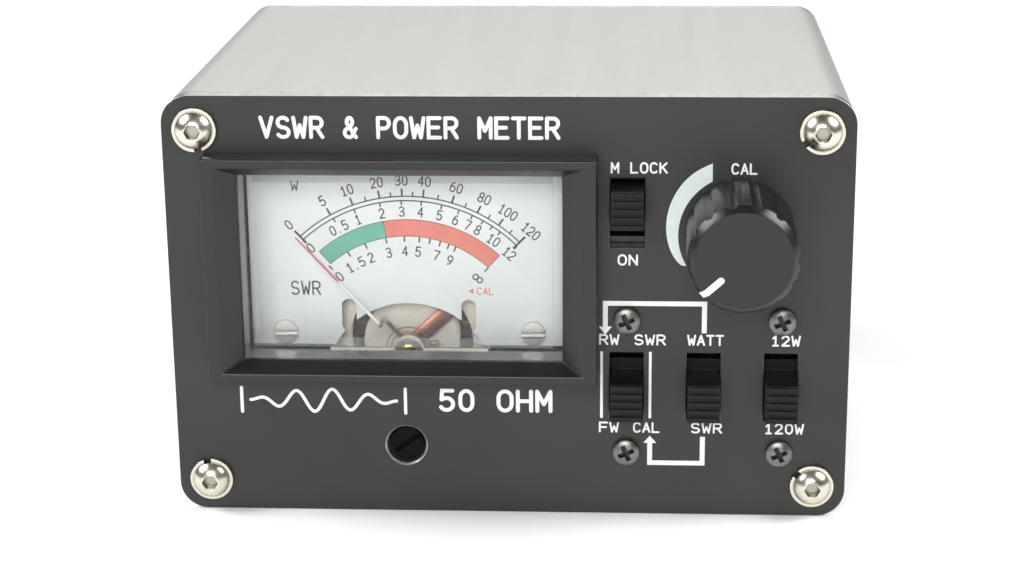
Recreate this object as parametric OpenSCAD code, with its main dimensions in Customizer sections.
// Standing-wave and power meter for a two-way radio: an aluminium case tube closed by two
// panels, with a moving-coil meter, a calibration control and four slide switches in front,
// and two coaxial sockets joined by a directional coupler at the back.
// Millimetres. +X is to the viewer's right, +Y runs from the front panel to the back, +Z is up.
// The origin is the bottom centre of the whole object's box.

/* [Case] */
// Width of the case tube and of both panels
case_w = 105; // [102:1:140]
// Height of the case tube and of both panels
case_h = 67; // [64:1:95]
// Length of the case tube between the panels
case_len = 75; // [70:1:140]
// Wall of the case tube
case_wall = 1.8; // [1.2:0.1:2.4]
// Radius of the long outer corners
corner_r = 4.4; // [3.5:0.1:5.5]
// Thickness of the front panel
front_t = 3; // [2:0.1:4]
// Thickness of the rear panel
rear_t = 2; // [1.5:0.1:4]

/* [Corner screws] */
// Distance from a corner screw's axis to the two nearest edges
screw_inset = 5.2; // [4.8:0.1:5.8]
// Radius of a corner screw's shank
screw_r = 1.5; // [1.2:0.1:1.8]
// Radius of a corner screw's domed head
screw_head_r = 2.85; // [2.4:0.05:3.2]
// Height of a corner screw's domed head
screw_head_h = 1.9; // [1.4:0.1:2.4]
// Length of a corner screw's shank
screw_len = 12; // [8:1:20]
// Outer radius of a lock washer
washer_r = 3.4; // [3.3:0.05:4]
// Thickness of a lock washer
washer_t = 0.9; // [0.6:0.1:1.2]

/* [Meter] */
// Sideways place of the meter's middle, from the middle of the panel
meter_x = -16.2; // [-17:0.1:-15]
// Height of the meter window's middle, from the middle of the panel
meter_z = 6.95; // [6:0.05:8]
// Width of the bezel
bezel_w = 60; // [57:0.5:61]
// Height of the bezel
bezel_h = 35.4; // [33:0.1:38]
// Height that the bezel stands out of the panel
bezel_proud = 4.5; // [3:0.1:6]
// Height that the bezel's inner edge stands out of the panel, round the window
rim_proud = 2; // [1:0.1:2.6]
// Width of the window
window_w = 49.4; // [45:0.1:50]
// Height of the window
window_h = 29.4; // [27:0.1:31]
// Width of the meter's body behind the panel
meter_w = 54; // [52:0.5:54.5]
// Drop of the pointer's pivot below the window's middle
pivot_drop = 15.9; // [15.4:0.1:17]
// Drop of the zero adjuster below the pivot
adjuster_drop = 13.5; // [12.5:0.1:14]
// Depth of the dial's face behind the front of the panel
dial_depth = 8; // [7.8:0.1:9]
// Length of the pointer from its pivot to its tip
needle_len = 25.5; // [22:0.1:26]
// Angle of the pointer at rest, measured from upright, to the left
needle_rest = 42.3; // [38:0.1:46]

/* [Slide switches] */
// Sideways place of the first switch, from the middle of the panel
switch_x = 18.3; // [17.8:0.1:18.6]
// Distance between the lower switches
switch_pitch = 11.9; // [11:0.1:12]
// Height of the lower switches, from the middle of the panel
lower_z = -12.25; // [-13:0.05:-12]
// Height of the upper switch, from the middle of the panel
upper_z = 15.5; // [15:0.1:17]
// Width of a switch slot in the panel
slot_w = 5.3; // [4.8:0.1:5.6]
// Height of a switch slot in the panel
slot_h = 11; // [10:0.1:12]
// Height of a switch button, along its travel
button_h = 5.9; // [5:0.1:6.4]
// Height that a switch button stands out of the panel
button_proud = 4.5; // [3:0.1:6]
// Travel of a switch button between its two detents
button_travel = 2.8; // [2:0.1:3.2]

/* [Calibration control] */
// Sideways place of the control, from the middle of the panel
control_x = 35.3; // [34:0.1:37]
// Height of the control, from the middle of the panel
control_z = 12.8; // [12:0.1:14]
// Radius of the knob
knob_r = 8.2; // [7.6:0.1:9]
// Length of the knob
knob_len = 15.9; // [12:0.1:20]
// Number of flutes round the knob
flutes = 14; // [8:1:20]
// Radius of the control's shaft
shaft_r = 3; // [2.5:0.1:3.2]

/* [Sockets] */
// Distance between the two coaxial sockets
socket_pitch = 48; // [40:1:52]
// Radius over the thread of a coaxial socket
thread_r = 7.94; // [7:0.01:8.4]
// Length of the thread of a coaxial socket
thread_len = 13.5; // [10:0.5:16]
// Width of a socket's square flange
flange_w = 25.4; // [24:0.1:27]
// Radius of the bore in a socket's centre contact
contact_bore_r = 1.98; // [1.9:0.01:2.1]

/* [Hidden] */

$fn = 64;

// Clearances
thread_clear = 0.05;  // round a screw's shank in its own hole
hole_clear = 0.2;     // round a shank that passes freely
fit_clear = 0.1;      // on each side of a piece that drops into its place
run_clear = 0.05;     // round a shaft that turns
air = 0.3;            // between pieces that never touch

// Case
depth = front_t + case_len + rear_t;
channel_r = 3.3;
channel_bore_r = screw_r + thread_clear;
boss_x = case_w / 2 - screw_inset;
boss_z = case_h / 2 - screw_inset;

// Knob and socket, which set the object's front and back
knob_gap = 0.6;
knob_front = knob_gap + knob_len;
flange_t = 1.8;
relief_len = 1.7;
socket_out = flange_t + relief_len + thread_len;
face_y = knob_front - (knob_front + depth + socket_out) / 2;

// Meter
pivot_x = meter_x;
pivot_z = meter_z - pivot_drop;
adjuster_z = pivot_z - adjuster_drop;
collar_wall = 1.5;
cover_wall = 1.5;
cover_lip = 0.4;
cover_front = front_t;
cover_back = dial_depth + 1.4;
base_back = dial_depth + 16;
base_wall = 1.5;
meter_top = meter_z + window_h / 2 + 1.4;
meter_bottom = adjuster_z - 3.9;
meter_h = meter_top - meter_bottom;
meter_mid = (meter_top + meter_bottom) / 2;
dial_t = 0.4;
dial_screw_x = 19.7;
dial_screw_z = 2.7;
dial_screw_r = 1.9;
stud_z = pivot_z + dial_screw_z + 5.6;
arch_r = 13.5;
arch_top = 7.4;
adjuster_hole_r = 3.05;
adjuster_head_r = 2.6;
adjuster_shaft_r = 1.5;
adjuster_crank = 1;

// Movement, as depths behind the front of the panel
needle_plane = dial_depth - 3;
lever_plane = dial_depth - 1.9;
bridge_front = dial_depth - 1.4;
bridge_t = 1;
hub_plane = dial_depth + 1;
yoke_front = dial_depth + 2.5;
yoke_back = yoke_front + 9;
yoke_r = 12.5;
gap_outer_r = 10;
core_r = 7.6;
coil_outer = 9.5;
coil_inner = 8.1;
coil_front = yoke_front - 0.6;
coil_back = yoke_back + 0.6;
rear_bridge_front = coil_back + 0.6;
staff_r = 0.4;
jewel_r = 1.2;
bridge_half = 11.3;
hub_r = 1.3;
needle_r = 0.3;
crank_r = 6.3;

// Switches: place, and the side of the slot on which each button rests
switches = [
    [switch_x, upper_z, 1],
    [switch_x, lower_z, -1],
    [switch_x + switch_pitch, lower_z, -1],
    [switch_x + 2 * switch_pitch, lower_z, -1],
];
frame_w = 8.2;
frame_h = 13.5;
frame_t = 0.5;
frame_front = front_t + air;
board_front = front_t + 7;
board_t = 1.6;
board_back = board_front + board_t;
slider_front = frame_front + frame_t + run_clear;
slider_t = 1.6;
base_front = slider_front + slider_t + 0.5;
foot_w = frame_w - 2 * frame_t - 8 * fit_clear;
foot_h = frame_h - 2 * frame_t - button_travel - 2 * fit_clear;
screw_row = 10.75;
panel_screw_r = 1.25;
panel_head_r = 2.1;
panel_head_h = 1.4;
rib_pitch = 1.24;
rib_cut = 0.55;
mount_spots = [for (x = [0, 2], s = [-1, 1]) [switch_x + x * switch_pitch, lower_z + s * screw_row]];

// Calibration control
can_r = 8;
can_back = front_t + 9;
can_wall = 0.5;
bushing_r = 3.5;
bushing_out = 5;
bushing_bore = shaft_r + run_clear;
flange_ring_t = 0.6;
wafer_front = front_t + 3;
wafer_t = 1.2;
tab_out = 3.3;
washer_gap = 1.1; // gap in a split lock washer
control_washer_t = 0.5;
control_washer_r = 5.4;
nut_t = 2;
nut_r = 5.6;
knob_bore = shaft_r + 0.02;
knob_recess_r = 6.4;
knob_recess = bushing_out + 0.6;
knob_chamfer = 1.1;
pointer_w = 1.05;
pointer_in = 3.9;
pointer_deep = 1.8;
pointer_angle = 222;

// Sockets, as depths behind the front of the panel
rear_face = depth;
socket_mouth = depth + socket_out;
socket_bore_r = 6;
socket_spigot_r = 7.4;
spigot_front = depth - rear_t - 2;
flange_screw = 9.1;
insulator_front = spigot_front - 1.5;
insulator_back = socket_mouth - 10;
contact_r = 2.75;
contact_back = socket_mouth - 1.5;
contact_bore_len = 14;
cup_front = insulator_front - 6.5;
cup_r = 1.9;
cup_bore_r = 1.2;

// Coupler
line_r = 0.8;
coupler_front = cup_front + 1.5;
coupler_t = 1.6;
coupler_w = socket_pitch + 14;
coupler_h = 36;
line_depth = coupler_front - 7.8;
toroid_r = 6.2;
toroid_bore = 3.2;
toroid_w = 5.5;
winding_t = 0.6;
coil_turns = 10;
wire_r = 0.6;

// ---- Placing ----

// Puts its children behind the front face by a depth, with their +Z towards the viewer.
module at(x, z, deep) {
    translate([x, face_y + deep, case_h / 2 + z]) rotate([90, 0, 0]) children();
}

// Extrudes an outline, drawn from the middle of the panel, between two depths.
module layer(front, back) {
    at(0, 0, back) linear_extrude(back - front) children();
}

// A round post between two depths.
module post(x, z, r, front, back) {
    at(x, z, back) cylinder(r = r, h = back - front);
}

// A hexagonal post between two depths; r is measured over its corners.
module hex_post(x, z, r, front, back) {
    at(x, z, back) cylinder(r = r, h = back - front, $fn = 6);
}

module rounded_rect(w, h, r) {
    square([w - 2 * r, h], center = true);
    square([w, h - 2 * r], center = true);
    for (x = [-1, 1], y = [-1, 1]) {
        translate([x * (w / 2 - r), y * (h / 2 - r)]) circle(r);
    }
}

module panel_outline() {
    rounded_rect(case_w, case_h, corner_r);
}

module at_corners() {
    for (x = [-1, 1], z = [-1, 1]) translate([x * boss_x, z * boss_z]) children();
}

// The screw channels' bosses, each filled in towards its corner.
module channel_outline() {
    at_corners() circle(channel_r);
    for (x = [-1, 1], z = [-1, 1]) {
        translate([x * (boss_x + screw_inset / 2), z * (boss_z + screw_inset / 2)])
            square(screw_inset, center = true);
    }
}

// ---- Case ----

module case_tube() color("silver") {
    layer(front_t, front_t + case_len) {
        difference() {
            union() {
                difference() {
                    panel_outline();
                    rounded_rect(case_w - 2 * case_wall, case_h - 2 * case_wall, corner_r - case_wall);
                }
                intersection() {
                    panel_outline();
                    channel_outline();
                }
            }
            at_corners() circle(channel_bore_r);
        }
    }
}

module front_panel() color([0.1, 0.1, 0.11]) {
    difference() {
        layer(0, front_t) {
            difference() {
                panel_outline();
                at_corners() circle(screw_r + hole_clear);
                translate([meter_x, meter_z])
                    square([window_w + 2 * collar_wall, window_h + 2 * collar_wall], center = true);
                for (s = switches) translate([s[0], s[1]]) square([slot_w, slot_h], center = true);
                for (p = mount_spots) translate(p) circle(panel_screw_r + thread_clear);
                translate([control_x, control_z]) circle(bushing_r + fit_clear);
                translate([meter_x, adjuster_z]) circle(adjuster_hole_r);
            }
        }
        at(meter_x, adjuster_z, 0.35) cylinder(r1 = adjuster_hole_r, r2 = adjuster_hole_r + 0.35, h = 0.36);
    }
}

module rear_panel() color([0.1, 0.1, 0.11]) {
    layer(depth - rear_t, depth) {
        difference() {
            panel_outline();
            at_corners() circle(screw_r + hole_clear);
            at_sockets() {
                circle(socket_spigot_r + fit_clear);
                at_flange_screws() circle(screw_r + thread_clear);
            }
        }
    }
}

// A domed screw with a hexagonal socket, its head's flat underside at z = 0.
module corner_screw() {
    dome_r = (screw_head_r * screw_head_r + screw_head_h * screw_head_h) / (2 * screw_head_h) + 0.25;
    difference() {
        union() {
            intersection() {
                cylinder(r = screw_head_r, h = screw_head_h);
                translate([0, 0, screw_head_h - dome_r]) sphere(dome_r);
            }
            translate([0, 0, -screw_len]) cylinder(r = screw_r, h = screw_len + 0.1);
        }
        translate([0, 0, screw_head_h - 1.3]) cylinder(r = 1.25, h = 2, $fn = 6);
    }
}

// A split spring washer, its back at z = 0.
module lock_washer(split) {
    difference() {
        cylinder(r = washer_r, h = washer_t);
        translate([0, 0, -1]) cylinder(r = screw_r + hole_clear, h = washer_t + 2);
        rotate([0, 0, split]) translate([0, -washer_gap / 2, -1]) cube([washer_r + 1, washer_gap, washer_t + 2]);
    }
}

module at_corner_seats() {
    for (x = [-1, 1], z = [-1, 1]) {
        at(x * boss_x, z * boss_z, 0) children();
        at(x * boss_x, z * boss_z, depth) mirror([0, 0, 1]) children();
    }
}

module corner_screws() color([0.85, 0.84, 0.78]) {
    at_corner_seats() translate([0, 0, washer_t]) corner_screw();
}

module lock_washers() color([0.75, 0.74, 0.7]) {
    splits = [100, 280, 140, 215];
    for (x = [0, 1], z = [0, 1]) {
        split = splits[2 * x + z];
        at((2 * x - 1) * boss_x, (2 * z - 1) * boss_z, 0) lock_washer(split);
        at((2 * x - 1) * boss_x, (2 * z - 1) * boss_z, depth) mirror([0, 0, 1]) lock_washer(split);
    }
}

// ---- Meter housing ----

// A block that tapers evenly from one rectangle at z = 0 to another at z = h.
module tapered_block(w1, h1, w2, h2, h) {
    intersection() {
        translate([0, h1 + h2, 0]) rotate([90, 0, 0]) linear_extrude(2 * (h1 + h2)) {
            polygon([[-w1 / 2, 0], [w1 / 2, 0], [w2 / 2, h], [-w2 / 2, h]]);
        }
        translate([-(w1 + w2), 0, 0]) rotate([90, 0, 90]) linear_extrude(2 * (w1 + w2)) {
            polygon([[-h1 / 2, 0], [h1 / 2, 0], [h2 / 2, h], [-h2 / 2, h]]);
        }
    }
}

module meter_bezel() color([0.07, 0.07, 0.07]) {
    land_w = 2.1;
    land_h = 1.35;
    difference() {
        union() {
            layer(-bezel_proud, 0) translate([meter_x, meter_z]) square([bezel_w, bezel_h], center = true);
            layer(-0.1, front_t) {
                translate([meter_x, meter_z]) {
                    square(
                        [window_w + 2 * (collar_wall - fit_clear), window_h + 2 * (collar_wall - fit_clear)],
                        center = true
                    );
                }
            }
        }
        at(meter_x, meter_z, -rim_proud) {
            tapered_block(
                window_w, window_h, bezel_w - 2 * land_w, bezel_h - 2 * land_h, bezel_proud - rim_proud
            );
        }
        layer(-rim_proud - 0.1, front_t + 1) translate([meter_x, meter_z])
            square([window_w, window_h], center = true);
    }
}

module meter_outline(inset) {
    translate([meter_x, meter_mid]) square([meter_w - 2 * inset, meter_h - 2 * inset], center = true);
}

module window_outline(inset) {
    translate([meter_x, meter_z]) square([window_w - 2 * inset, window_h - 2 * inset], center = true);
}

module meter_cover() color([0.9, 0.95, 1, 0.35]) {
    difference() {
        union() {
            layer(cover_lip - rim_proud, cover_front + 0.1) window_outline(fit_clear);
            layer(cover_front, cover_back) meter_outline(0);
        }
        layer(cover_lip - rim_proud + cover_wall, cover_front + 0.2) window_outline(fit_clear + cover_wall);
        layer(cover_front - 0.1, cover_front + cover_wall + 0.1) window_outline(fit_clear + cover_wall);
        layer(cover_front + cover_wall, cover_back + 1) meter_outline(cover_wall);
        post(
            meter_x, adjuster_z, adjuster_shaft_r + run_clear, cover_front - 1, cover_front + cover_wall + 1
        );
    }
}

module meter_base() color([0.06, 0.06, 0.06]) {
    difference() {
        union() {
            layer(cover_back, base_back) meter_outline(0);
            layer(cover_back - 1, cover_back + 0.1) meter_outline(cover_wall + fit_clear);
        }
        layer(cover_back - 2, base_back - base_wall) meter_outline(cover_wall + fit_clear + base_wall);
        for (s = [-1, 1])
            post(pivot_x + s * dial_screw_x, stud_z, screw_r + thread_clear, cover_back, base_back + 1);
    }
    for (s = [-1, 1]) {
        difference() {
            post(
                pivot_x + s * dial_screw_x, pivot_z + dial_screw_z,
                2.6, dial_depth + dial_t, base_back - base_wall
            );
            post(
                pivot_x + s * dial_screw_x, pivot_z + dial_screw_z, 1, dial_depth, base_back - 2 * base_wall
            );
        }
        post(
            pivot_x, pivot_z + s * (core_r + gap_outer_r) / 2 * 1.3,
            1.6, rear_bridge_front + air, base_back - base_wall
        );
    }
}

module dial_plate() color([0.88, 0.9, 0.9]) {
    top = meter_top - cover_wall - fit_clear - air;
    bottom = pivot_z + 0.5;
    layer(dial_depth, dial_depth + dial_t) {
        difference() {
            translate([pivot_x, (top + bottom) / 2])
                square([meter_w - 2 * (cover_wall + 0.5), top - bottom], center = true);
            translate([pivot_x, pivot_z + arch_top - arch_r]) circle(arch_r);
            for (s = [-1, 1]) {
                translate([pivot_x + s * 9.5, pivot_z + 5.3]) rounded_rect(2.3, 5.4, 1.14);
                translate([pivot_x + s * dial_screw_x, pivot_z + dial_screw_z]) circle(1.1);
            }
        }
    }
}

module dial_screws() color([0.8, 0.8, 0.8]) {
    for (s = [-1, 1]) {
        difference() {
            union() {
                post(
                    pivot_x + s * dial_screw_x,
                    pivot_z + dial_screw_z, dial_screw_r, dial_depth - 0.9, dial_depth
                );
                post(
                    pivot_x + s * dial_screw_x,
                    pivot_z + dial_screw_z, 0.95, dial_depth - 0.1, dial_depth + 6
                );
            }
            at(pivot_x + s * dial_screw_x, pivot_z + dial_screw_z, dial_depth - 0.5) {
                translate([-3, -0.25, 0]) cube([6, 0.5, 2]);
            }
        }
    }
}

module meter_studs() color("gold") {
    for (s = [-1, 1]) {
        post(pivot_x + s * dial_screw_x, stud_z, screw_r, base_back - base_wall, base_back + 7);
        hex_post(
            pivot_x + s * dial_screw_x, stud_z, 2.4, base_back - base_wall - 1.5, base_back - base_wall
        );
    }
}

module stud_nuts() color("gold") {
    for (s = [-1, 1]) {
        difference() {
            hex_post(pivot_x + s * dial_screw_x, stud_z, 3.1, base_back, base_back + 2.4);
            post(
                pivot_x + s * dial_screw_x, stud_z, screw_r + thread_clear, base_back - 1, base_back + 4
            );
        }
    }
}

// ---- Meter movement ----

module meter_yoke() color([0.35, 0.33, 0.3]) {
    difference() {
        post(pivot_x, pivot_z, yoke_r, yoke_front, yoke_back);
        post(pivot_x, pivot_z, gap_outer_r, yoke_front - 1, yoke_back + 1);
        for (s = [-1, 1]) {
            post(pivot_x + s * bridge_half, pivot_z - 1.2, 0.55, yoke_front - 1, yoke_back + 1);
        }
    }
}

module meter_core() color([0.3, 0.3, 0.32]) {
    post(pivot_x, pivot_z, core_r, yoke_front + 0.5, yoke_back - 0.5);
}

// Two spacers, above and below the core, that hold it in the middle of the yoke.
module core_clamps() color([0.7, 0.7, 0.72]) {
    for (s = [-1, 1]) {
        intersection() {
            difference() {
                post(pivot_x, pivot_z, gap_outer_r, yoke_front + 1, yoke_back - 1);
                post(pivot_x, pivot_z, core_r, yoke_front, yoke_back);
            }
            layer(yoke_front, yoke_back) {
                translate([pivot_x, pivot_z + s * gap_outer_r])
                    square([4.4, 2 * gap_outer_r - 2], center = true);
            }
        }
    }
}

module bridge_outline() {
    translate([pivot_x, pivot_z - 0.95]) square([2 * bridge_half + 2.4, 2.4], center = true);
    translate([pivot_x, pivot_z]) circle(2.4);
}

module front_bridge() color([0.72, 0.66, 0.5]) {
    difference() {
        union() {
            layer(bridge_front, bridge_front + bridge_t) bridge_outline();
            for (s = [-1, 1]) {
                post(
                    pivot_x + s * bridge_half, pivot_z - 1.2, 1.1, bridge_front + bridge_t - 0.1, yoke_front
                );
            }
        }
        post(pivot_x, pivot_z, jewel_r + thread_clear, bridge_front - 1, bridge_front + bridge_t + 1);
        for (s = [-1, 1]) {
            post(pivot_x + s * bridge_half, pivot_z - 1.2, 0.55, bridge_front - 1, yoke_front + 1);
        }
    }
}

module rear_bridge() color([0.72, 0.66, 0.5]) {
    difference() {
        union() {
            layer(rear_bridge_front, rear_bridge_front + bridge_t) bridge_outline();
            for (s = [-1, 1]) {
                post(pivot_x + s * bridge_half, pivot_z - 1.2, 1.1, yoke_back, rear_bridge_front + 0.1);
            }
        }
        post(pivot_x, pivot_z, jewel_r + thread_clear, rear_bridge_front - 1, rear_bridge_front + 2);
        for (s = [-1, 1]) {
            post(pivot_x + s * bridge_half, pivot_z - 1.2, 0.55, yoke_back - 1, rear_bridge_front + 2);
        }
    }
}

module jewel_screws() color("gold") {
    difference() {
        post(pivot_x, pivot_z, jewel_r, lever_plane - 0.7, bridge_front + bridge_t + 0.4);
        post(pivot_x, pivot_z, staff_r + run_clear, bridge_front + 0.4, hub_plane);
        at(pivot_x, pivot_z, lever_plane - 0.3) translate([-2, -0.2, 0]) cube([4, 0.4, 1]);
    }
    difference() {
        post(pivot_x, pivot_z, jewel_r, rear_bridge_front - 0.4, rear_bridge_front + bridge_t + 0.8);
        post(pivot_x, pivot_z, staff_r + run_clear, coil_back, rear_bridge_front + 0.6);
    }
}

module bridge_screws() color([0.8, 0.8, 0.8]) {
    for (s = [-1, 1]) {
        post(pivot_x + s * bridge_half, pivot_z - 1.2, 1, bridge_front - 0.6, bridge_front);
        post(pivot_x + s * bridge_half, pivot_z - 1.2, 0.5, bridge_front - 0.1, yoke_front + 4);
        post(
            pivot_x + s * bridge_half, pivot_z - 1.2, 1,
            rear_bridge_front + bridge_t, rear_bridge_front + bridge_t + 0.6
        );
        post(
            pivot_x + s * bridge_half, pivot_z - 1.2, 0.5, yoke_back - 4, rear_bridge_front + bridge_t + 0.1
        );
    }
}

// A flat spiral strip from one radius to another.
function spiral_point(r1, r2, turns, t) =
    let (a = 360 * turns * t, r = r1 + (r2 - r1) * t) [r * cos(a), r * sin(a)];

module spiral(r1, r2, turns, wide) {
    steps = 24 * turns;
    polygon(concat(
        [for (i = [0:steps]) spiral_point(r1, r2, turns, i / steps)],
        [for (i = [steps:-1:0]) spiral_point(r1 + wide, r2 + wide, turns, i / steps)]
    ));
}

module hairsprings() color([0.85, 0.65, 0.4]) {
    for (front = [bridge_front + bridge_t + 0.1, coil_back + 0.1]) {
        layer(front, front + 0.25) translate([pivot_x, pivot_z]) spiral(1.7, 4, 3, 0.15);
    }
}

// Places its children at the pivot, turned to the pointer's rest angle, at a depth.
module at_needle(deep) {
    at(pivot_x, pivot_z, deep) rotate([0, 0, needle_rest]) children();
}

// Pointer: a fine tube in front of the dial, cranked back through the arch to its hub.
module needle() color([0.95, 0.95, 0.95]) {
    at_needle(needle_plane) {
        rotate([-90, 0, 0]) translate([0, 0, crank_r - needle_r])
            cylinder(r1 = needle_r, r2 = 0.12, h = needle_len - crank_r + needle_r);
        translate([0, crank_r, needle_plane - hub_plane - needle_r])
            cylinder(r = needle_r, h = hub_plane - needle_plane + 2 * needle_r);
    }
    at_needle(hub_plane) {
        translate([0, hub_r - 0.1, 0]) rotate([-90, 0, 0])
            cylinder(r = needle_r, h = crank_r + needle_r - hub_r + 0.1);
    }
    difference() {
        post(pivot_x, pivot_z, hub_r, hub_plane - 0.3, hub_plane + 0.4);
        post(pivot_x, pivot_z, staff_r + 0.01, hub_plane - 1, hub_plane + 1);
    }
}

module balance_weights() color("gold") {
    at_needle(hub_plane) {
        for (a = [125, 235]) {
            rotate([0, 0, a]) rotate([-90, 0, 0]) {
                translate([0, 0, hub_r]) cylinder(r = 0.18, h = 3.4);
                translate([0, 0, hub_r + 1.9]) cylinder(r = 0.42, h = 1.4);
            }
        }
    }
}

// A rectangular coil round the core, with its two pivot staffs.
module moving_coil() color([0.72, 0.4, 0.2]) {
    half = 1.2;
    at_needle(coil_back) difference() {
        translate([-coil_outer, -half, 0]) cube([2 * coil_outer, 2 * half, coil_back - coil_front]);
        translate([-coil_inner, -half - 1, 0.45])
            cube([2 * coil_inner, 2 * half + 2, coil_back - coil_front - 0.9]);
    }
    post(pivot_x, pivot_z, staff_r, bridge_front + 0.5, coil_front + 0.1);
    post(pivot_x, pivot_z, staff_r, coil_back - 0.1, rear_bridge_front + 0.5);
}

// Slotted screw in the panel's hole, with a crank pin behind it.
module zero_adjuster() color([0.05, 0.05, 0.05]) {
    head_front = 1.1;
    difference() {
        union() {
            post(meter_x, adjuster_z, adjuster_head_r, head_front, cover_front - 0.1);
            post(meter_x, adjuster_z, adjuster_shaft_r, cover_front - 0.2, lever_plane - 0.35);
            post(meter_x, adjuster_z + adjuster_crank, 0.35, lever_plane - 0.4, lever_plane + 0.5);
        }
        at(meter_x, adjuster_z, head_front + 0.9) rotate([0, 0, 35]) translate([-4, -0.35, 0])
            cube([8, 0.7, 2]);
    }
}

// Forked lever on the front jewel screw, moved by the adjuster's crank pin.
module zero_lever() color([0.8, 0.8, 0.8]) {
    reach = adjuster_drop - adjuster_crank;
    layer(lever_plane - 0.2, lever_plane + 0.2) translate([pivot_x, pivot_z]) {
        difference() {
            union() {
                circle(2.2);
                translate([-0.8, -reach + 1]) square([1.6, reach - 2]);
                translate([-1.2, -reach - 1]) square([2.4, 2.6]);
            }
            circle(jewel_r + run_clear);
            translate([-0.5, -reach - 2]) square([1, 3]);
        }
    }
}

// ---- Slide switches and their board ----

// Pressed steel frame over one switch.
module switch_frames() color([0.75, 0.75, 0.75]) {
    for (s = switches) {
        difference() {
            layer(frame_front, board_front) translate([s[0], s[1]])
                square([frame_w, frame_h], center = true);
            layer(frame_front + frame_t, board_front + 1) {
                translate([s[0], s[1]])
                    square([frame_w - 2 * frame_t, frame_h - 2 * frame_t], center = true);
            }
            layer(frame_front - 1, board_front) {
                translate([s[0], s[1]])
                    square([slot_w, button_h + button_travel + 2 * fit_clear], center = true);
            }
        }
    }
}

module switch_bases() color([0.45, 0.25, 0.12]) {
    for (s = switches) {
        difference() {
            layer(base_front, board_front) {
                translate([s[0], s[1]]) {
                    square(
                        [frame_w - 2 * frame_t - 2 * fit_clear, frame_h - 2 * frame_t - 2 * fit_clear],
                        center = true
                    );
                }
            }
            for (p = pin_spots(s)) layer(base_front - 1, board_front + 1) translate(p)
                square([1.02, 0.52], center = true);
        }
    }
}

function pin_spots(s) = [for (x = [-1, 1], z = [-1, 0, 1]) [s[0] + x * 1.7, s[1] + z * 3.6]];

module switch_terminals() color("silver") {
    for (s = switches, p = pin_spots(s)) {
        layer(base_front, board_back + 1.6) translate(p) square([1, 0.5], center = true);
    }
}

module switch_board() color([0.1, 0.35, 0.2]) {
    left = switch_x - frame_w / 2 - 0.8;
    right = switch_x + 2 * switch_pitch + frame_w / 2 + 0.6;
    bottom = lower_z - screw_row - 2.4;
    top = lower_z + screw_row + 3.8;
    arm_top = upper_z + frame_h / 2 + 1.2;
    layer(board_front, board_back) {
        difference() {
            union() {
                translate([left, bottom]) square([right - left, top - bottom]);
                translate([left, top - 1]) square([frame_w + 2.4, arm_top - top + 1]);
            }
            at_corners() circle(channel_r + 0.6);
            translate([control_x, control_z]) circle(can_r + 0.6);
            for (p = mount_spots) translate(p) circle(panel_screw_r + thread_clear);
            for (s = switches, p = pin_spots(s)) translate(p) square([1.1, 0.6], center = true);
        }
    }
}

module board_standoffs() color("gold") {
    for (p = mount_spots) {
        difference() {
            hex_post(p[0], p[1], 2.4, front_t, board_front);
            post(p[0], p[1], panel_screw_r + thread_clear, front_t - 1, board_front + 1);
        }
    }
}

// A cross-recessed pan-head screw, its head's flat underside at z = 0.
module cross_screw(shank, head_r, head_h, len) {
    crown = head_h * 1.6 + head_r;
    difference() {
        union() {
            intersection() {
                cylinder(r = head_r, h = head_h);
                translate([0, 0, head_h - crown]) sphere(crown);
            }
            translate([0, 0, -len]) cylinder(r = shank, h = len + 0.1);
        }
        for (a = [0, 90]) {
            rotate([0, 0, a + 24]) translate([-head_r * 0.62, -head_r * 0.17, head_h - 1.1]) {
                cube([head_r * 1.24, head_r * 0.34, 2]);
            }
        }
    }
}

module panel_screws() color([0.12, 0.12, 0.12]) {
    for (p = mount_spots) at(p[0], p[1], 0)
        cross_screw(panel_screw_r, panel_head_r, panel_head_h, front_t + 3);
}

module board_screws() color("silver") {
    for (p = mount_spots) {
        at(p[0], p[1], board_back) mirror([0, 0, 1])
            cross_screw(panel_screw_r, panel_head_r, panel_head_h, board_t + 3);
    }
}

// Ribbed button with its wide foot inside the frame.
module slider(s) {
    z = s[1] + s[2] * button_travel / 2;
    stem_w = slot_w - 0.3;
    difference() {
        union() {
            layer(-button_proud, slider_front + 0.1) translate([s[0], z])
                square([stem_w, button_h], center = true);
            layer(slider_front, slider_front + slider_t) translate([s[0], z])
                square([foot_w, foot_h], center = true);
        }
        for (i = [-2:2]) {
            layer(-button_proud - 1, -button_proud + rib_cut) {
                translate([s[0], z + i * rib_pitch + rib_pitch / 2])
                    square([slot_w + 1, rib_pitch / 2], center = true);
            }
        }
    }
}

module lock_slider() color([0.05, 0.05, 0.06]) slider(switches[0]);

module direction_slider() color([0.05, 0.05, 0.06]) slider(switches[1]);

module function_slider() color([0.05, 0.05, 0.06]) slider(switches[2]);

module range_slider() color([0.05, 0.05, 0.06]) slider(switches[3]);

// ---- Calibration control ----

module control_case() color([0.75, 0.75, 0.72]) {
    difference() {
        post(control_x, control_z, can_r, front_t, can_back);
        post(control_x, control_z, can_r - can_wall, front_t + flange_ring_t, can_back - can_wall);
        post(control_x, control_z, bushing_r + fit_clear, front_t - 1, front_t + 1);
        layer(wafer_front - fit_clear, wafer_front + wafer_t + fit_clear) {
            translate([control_x, control_z - can_r]) square([11, 3], center = true);
        }
    }
}

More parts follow.
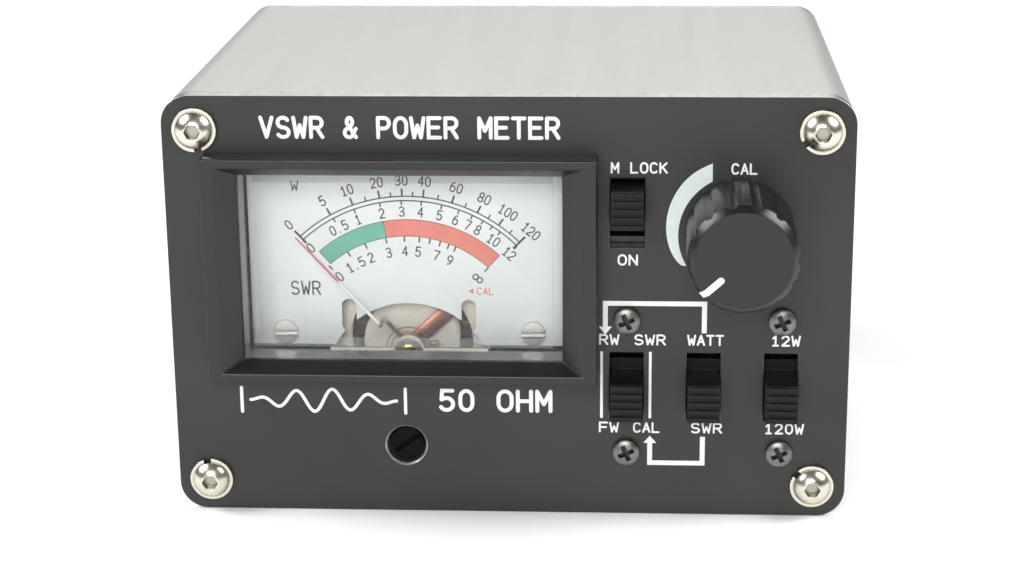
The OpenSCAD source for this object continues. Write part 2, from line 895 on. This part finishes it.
// Resistive wafer with its three solder tabs.
module control_wafer() color([0.45, 0.28, 0.15]) {
    difference() {
        union() {
            post(control_x, control_z, can_r - can_wall - fit_clear, wafer_front, wafer_front + wafer_t);
            layer(wafer_front, wafer_front + wafer_t) {
                translate([control_x, control_z - can_r + 0.2]) square([10.6, 2.4], center = true);
            }
            layer(wafer_front + 0.3, wafer_front + 0.8) {
                for (i = [-1, 0, 1]) {
                    translate([control_x + i * 4 - 0.6, control_z - can_r - tab_out])
                        square([1.2, tab_out + 1]);
                }
            }
        }
        post(control_x, control_z, shaft_r + air, wafer_front - 1, wafer_front + wafer_t + 1);
    }
}

module control_bushing() color([0.8, 0.78, 0.7]) {
    difference() {
        union() {
            post(control_x, control_z, bushing_r, -bushing_out, front_t + flange_ring_t + 1);
            post(control_x, control_z, 5.2, front_t + flange_ring_t, front_t + flange_ring_t + 1);
        }
        post(control_x, control_z, bushing_bore, -bushing_out - 1, front_t + 4);
    }
}

module control_washer() color([0.8, 0.8, 0.8]) {
    difference() {
        post(control_x, control_z, control_washer_r, -control_washer_t, 0);
        post(control_x, control_z, bushing_r + fit_clear, -2, 1);
    }
}

module control_nut() color([0.8, 0.8, 0.8]) {
    difference() {
        hex_post(control_x, control_z, nut_r, -control_washer_t - nut_t, -control_washer_t);
        post(control_x, control_z, bushing_r + thread_clear, -4, 1);
    }
}

// Shaft with the wiper's disc that turns against the wafer.
module control_shaft() color([0.8, 0.8, 0.78]) {
    post(control_x, control_z, shaft_r, -knob_len + 3, wafer_front + wafer_t + 2.2);
    difference() {
        post(control_x, control_z, 6.4, wafer_front + wafer_t + 0.4, wafer_front + wafer_t + 1.4);
        post(control_x, control_z, shaft_r - 0.1, wafer_front, wafer_front + wafer_t + 2);
    }
}

// The knob's outer form, its back at z = 0.
module knob_form() {
    difference() {
        rotate_extrude() polygon([
            [0, 0], [knob_r, 0], [knob_r, knob_len - knob_chamfer],
            [knob_r - knob_chamfer * 0.9, knob_len], [0, knob_len]
        ]);
        for (i = [0:flutes - 1]) {
            rotate([0, 0, i * 360 / flutes]) translate([knob_r + 0.75, 0, -1])
                cylinder(r = 1.1, h = knob_len + 2);
        }
    }
}

// The white line's outline, from inside the knob's face to beyond its rim.
module pointer_strip() {
    rotate([0, 0, pointer_angle]) translate([pointer_in + pointer_w / 2, 0, knob_len - pointer_deep]) {
        cylinder(r = pointer_w / 2, h = pointer_deep + 1);
        translate([0, -pointer_w / 2, 0]) cube([knob_r, pointer_w, pointer_deep + 1]);
    }
}

module cal_knob() color([0.12, 0.12, 0.12]) {
    at(control_x, control_z, -knob_gap) difference() {
        knob_form();
        pointer_strip();
        translate([0, 0, -1]) cylinder(r = knob_recess_r, h = knob_recess + 1);
        cylinder(r = knob_bore, h = knob_len - 3);
    }
}

module knob_pointer() color("white") {
    at(control_x, control_z, -knob_gap) intersection() {
        knob_form();
        pointer_strip();
    }
}

// ---- Sockets ----

module at_sockets() {
    for (s = [-1, 1]) translate([s * socket_pitch / 2, 0]) children();
}

module at_flange_screws() {
    for (x = [-1, 1], z = [-1, 1]) translate([x * flange_screw, z * flange_screw]) children();
}

module socket_shell(side) {
    x = side * socket_pitch / 2;
    difference() {
        union() {
            layer(rear_face, rear_face + flange_t) translate([x, 0]) difference() {
                rounded_rect(flange_w, flange_w, 1.2);
                at_flange_screws() circle(screw_r + hole_clear);
            }
            post(x, 0, socket_spigot_r, spigot_front, rear_face + flange_t + relief_len + 0.1);
            post(x, 0, thread_r, rear_face + flange_t + relief_len, socket_mouth);
        }
        post(x, 0, socket_bore_r, spigot_front - 1, socket_mouth + 1);
    }
}

module antenna_socket() color([0.8, 0.79, 0.75]) socket_shell(1);

module transmitter_socket() color([0.8, 0.79, 0.75]) socket_shell(-1);

module socket_insulators() color([0.92, 0.92, 0.9]) {
    for (s = [-1, 1]) {
        difference() {
            union() {
                post(s * socket_pitch / 2, 0, socket_bore_r - 0.02, insulator_front + 1.5, insulator_back);
                post(s * socket_pitch / 2, 0, 4.2, insulator_front, insulator_front + 1.6);
            }
            post(s * socket_pitch / 2, 0, contact_r + 0.02, insulator_front + 1, insulator_back + 1);
            post(s * socket_pitch / 2, 0, cup_r + 0.02, insulator_front - 1, insulator_front + 2);
        }
    }
}

module socket_contacts() color([0.85, 0.72, 0.4]) {
    for (s = [-1, 1]) {
        difference() {
            union() {
                post(s * socket_pitch / 2, 0, contact_r, insulator_front + 1, contact_back);
                post(s * socket_pitch / 2, 0, cup_r, cup_front, insulator_front + 1.1);
            }
            post(
                s * socket_pitch / 2, 0, contact_bore_r, contact_back - contact_bore_len, contact_back + 1
            );
            post(s * socket_pitch / 2, 0, cup_bore_r, cup_front - 1, cup_front + 3);
        }
    }
}

module socket_screws() color([0.8, 0.8, 0.78]) {
    for (s = [-1, 1], x = [-1, 1], z = [-1, 1]) {
        at(s * socket_pitch / 2 + x * flange_screw, z * flange_screw, rear_face + flange_t) {
            mirror([0, 0, 1]) cross_screw(screw_r, 2.75, 2, flange_t + rear_t + 1.5);
        }
    }
}

// ---- Coupler ----

module coupler_board() color([0.1, 0.35, 0.2]) {
    layer(coupler_front, coupler_front + coupler_t) difference() {
        square([coupler_w, coupler_h], center = true);
        at_sockets() circle(cup_r + thread_clear);
    }
}

// A round wire through a list of points, with round bends.
module wire_path(points, r) {
    for (i = [0:len(points) - 2]) {
        a = points[i];
        b = points[i + 1];
        run = b - a;
        reach = norm(run);
        translate(a) rotate([0, acos(run[2] / reach), atan2(run[1], run[0])]) cylinder(r = r, h = reach);
        if (i > 0) translate(a) sphere(r);
    }
}

module through_line() color([0.8, 0.5, 0.3]) {
    half = socket_pitch / 2;
    z = case_h / 2;
    front = face_y + line_depth;
    back = face_y + cup_front + 2.9;
    wire_path([[-half, back, z], [-half, front, z], [half, front, z], [half, back, z]], line_r);
}

// Turns its children's +Z to the object's +X, at the middle of the through line.
module at_toroid() {
    translate([0, face_y + line_depth, case_h / 2]) rotate([0, 90, 0]) children();
}

module current_toroid() color([0.25, 0.25, 0.27]) {
    at_toroid() difference() {
        translate([0, 0, -toroid_w / 2]) cylinder(r = toroid_r, h = toroid_w);
        translate([0, 0, -toroid_w]) cylinder(r = toroid_bore, h = 2 * toroid_w);
    }
}

// One rectangular turn of wire for each loop, laid close round the core's section.
module toroid_winding() color([0.75, 0.4, 0.2]) {
    gap = 0.05;
    for (i = [0:coil_turns - 1]) {
        at_toroid() rotate([0, 0, 20 + i * 320 / (coil_turns - 1)]) {
            translate([0, winding_t / 2, 0]) rotate([90, 0, 0]) linear_extrude(winding_t) {
                translate([(toroid_r + toroid_bore) / 2, 0]) difference() {
                    square(
                        [toroid_r - toroid_bore + 2 * (gap + winding_t), toroid_w + 2 * (gap + winding_t)],
                        center = true
                    );
                    square([toroid_r - toroid_bore + 2 * gap, toroid_w + 2 * gap], center = true);
                }
            }
        }
    }
}

// A component with a round body and two straight leads, lying along X on the coupler board.
module axial_part(x, z, body_r, body_len) {
    clear = body_r + 0.3;
    at(x, z, coupler_front) {
        translate([-body_len / 2, 0, clear]) rotate([0, 90, 0]) cylinder(r = body_r, h = body_len);
        for (s = [-1, 1]) {
            translate([s * (body_len / 2 + 1), 0, 0]) cylinder(r = 0.25, h = clear);
            translate([s * (body_len / 2 + 1), 0, clear]) sphere(0.25);
            translate([s * (body_len / 2 + 1), 0, clear]) rotate([0, -s * 90, 0])
                cylinder(r = 0.25, h = 1.1);
        }
    }
}

module coupler_diodes() color([0.8, 0.35, 0.2]) {
    for (s = [-1, 1]) axial_part(s * 13.5, 11, 0.95, 4);
}

module coupler_resistors() color([0.35, 0.6, 0.75]) {
    for (s = [-1, 1]) {
        axial_part(s * 13.5, 6.5, 1.2, 6.3);
        axial_part(s * 13.5, -6.5, 1.2, 6.3);
    }
}

module coupler_capacitors() color([0.8, 0.55, 0.25]) {
    for (s = [-1, 1]) {
        at(s * 13.5, -11.5, coupler_front) {
            translate([0, 0.9, 4]) rotate([90, 0, 0]) cylinder(r = 2.6, h = 1.8);
            for (t = [-1, 1]) translate([t * 1.4, 0, 0]) cylinder(r = 0.25, h = 3);
        }
    }
}

module balance_trimmer() color([0.2, 0.45, 0.7]) {
    at(0, -12, coupler_front) difference() {
        union() {
            translate([-3.2, -3.2, 0]) cube([6.4, 6.4, 3.4]);
            translate([0, 0, 3.3]) cylinder(r = 2.2, h = 0.9);
        }
        translate([-1.8, -0.3, 3.6]) cube([3.6, 0.6, 2]);
    }
}

// ---- Wires ----

// A point of a smooth curve from a to d that leaves towards b and arrives from c.
function curve_point(a, b, c, d, t) =
    a * pow(1 - t, 3) + b * 3 * t * pow(1 - t, 2) + c * 3 * t * t * (1 - t) + d * pow(t, 3);

// The direction of the same curve there.
function curve_way(a, b, c, d, t) =
    let (v = (b - a) * pow(1 - t, 2) + (c - b) * 2 * t * (1 - t) + (d - c) * t * t) v / norm(v);

function unit(v) = v / norm(v);

// Eight-sided wire along the curve from a to d.
module wire(a, b, c, d) {
    sides = 8;
    steps = 16;
    rings = [for (i = [0:steps])
        let (
            middle = curve_point(a, b, c, d, i / steps),
            way = curve_way(a, b, c, d, i / steps),
            across = unit(cross(way, [0, 0, 1])),
            up = cross(across, way)
        )
        for (j = [0:sides - 1])
            middle + wire_r * (cos(360 * j / sides) * across + sin(360 * j / sides) * up)
    ];
    skin = [for (i = [0:steps - 1], j = [0:sides - 1])
        [i * sides + j, (i + 1) * sides + j, (i + 1) * sides + (j + 1) % sides, i * sides + (j + 1) % sides]
    ];
    ends = [[for (j = [0:sides - 1]) j], [for (j = [sides - 1:-1:0]) steps * sides + j]];
    polyhedron(rings, concat(skin, ends));
}

// A wire between two places, each given as [x, z, depth]; it leaves both squarely.
module lead(from, to, out_from, out_to) {
    a = [from[0], face_y + from[2], case_h / 2 + from[1]];
    d = [to[0], face_y + to[2], case_h / 2 + to[1]];
    wire(a, a + [0, out_from, 0], d + [0, out_to, 0], d);
}

module sense_wires() color([0.8, 0.7, 0.2]) {
    for (i = [0:2]) {
        lead(
            [-6 + 6 * i, 14, coupler_front],
            [switch_x + 4.5 + 3 * i, lower_z + screw_row + 0.6, board_back],
            -18 - 3 * i, 18 + 3 * i
        );
    }
}

module meter_wires() color([0.75, 0.1, 0.1]) {
    for (s = [-1, 1]) {
        lead(
            [pivot_x + s * dial_screw_x, stud_z, base_back + 7],
            [switch_x + 4.5 + 1.5 * (1 - s), lower_z - screw_row + 2.6, board_back],
            12 - 4 * s, 20 - 4 * s
        );
    }
}

case_tube();
front_panel();
rear_panel();
corner_screws();
lock_washers();
meter_bezel();
meter_cover();
meter_base();
dial_plate();
dial_screws();
meter_yoke();
meter_core();
core_clamps();
front_bridge();
rear_bridge();
jewel_screws();
bridge_screws();
hairsprings();
meter_studs();
stud_nuts();
switch_frames();
switch_bases();
switch_terminals();
switch_board();
board_standoffs();
panel_screws();
board_screws();
control_case();
control_wafer();
control_bushing();
control_nut();
control_washer();
antenna_socket();
transmitter_socket();
socket_insulators();
socket_contacts();
socket_screws();
coupler_board();
through_line();
current_toroid();
toroid_winding();
coupler_diodes();
coupler_resistors();
coupler_capacitors();
balance_trimmer();
sense_wires();
meter_wires();
cal_knob();
knob_pointer();
control_shaft();
lock_slider();
direction_slider();
function_slider();
range_slider();
needle();
moving_coil();
balance_weights();
zero_adjuster();
zero_lever();
